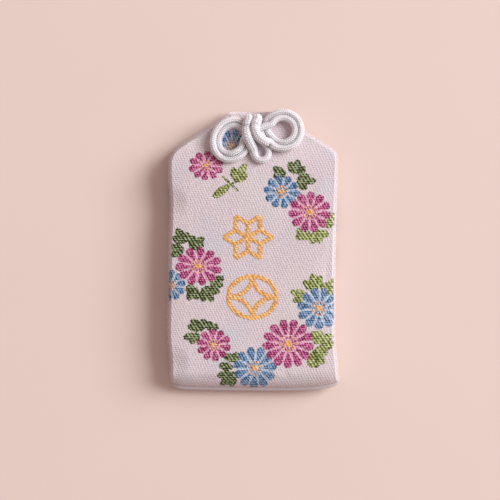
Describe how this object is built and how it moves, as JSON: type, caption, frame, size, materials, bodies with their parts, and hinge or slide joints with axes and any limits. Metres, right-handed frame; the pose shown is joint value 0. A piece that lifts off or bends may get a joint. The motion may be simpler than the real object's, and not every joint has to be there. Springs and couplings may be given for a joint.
{
  "type": "charm pouch",
  "caption": "Small flat brocade charm pouch, padded, with a braided cord tied in a looped bow at its mouth and a paper-wrapped tablet inside.",
  "frame": {"origin": "middle of the pouch, on the surface it lies on (back face)", "axes": "+Z out of the front, +Y towards the mouth and the bow, +X to the right seen from the front"},
  "size_m": [0.045, 0.0743, 0.0109],
  "materials": {
    "brocade": "jacquard brocade",
    "lining": "plain weave",
    "wadding": "soft fibre",
    "card": "matte",
    "paper": "matte",
    "wood": "planed",
    "thread": "twisted",
    "cord": "braided"
  },
  "bodies": {
    "pouch": {"front_panel": "brocade", "back_panel": "brocade", "front_lining": "lining", "back_lining": "lining", "wadding": "wadding", "stiffener_card": "card", "seam_thread": "thread", "cord_tail_left": "cord", "cord_tail_right": "cord", "tail_binding": "thread"},
    "packet": {"paper_wrapper": "paper", "wrapper_band": "paper", "charm_tablet": "wood"},
    "bow": {"tie_cord": "cord"}
  },
  "joints": [
    {"name": "bow_lift", "type": "hinge", "parent": "pouch", "child": "bow", "pos_m": [0, 0.03535, 0.00802], "axis": [-1, 0, 0], "range_deg": [0, 170]},
    {"name": "packet_slide", "type": "slide", "parent": "pouch", "child": "packet", "axis": [0, 1, 0], "range_m": [0, 0.004]}
  ]
}
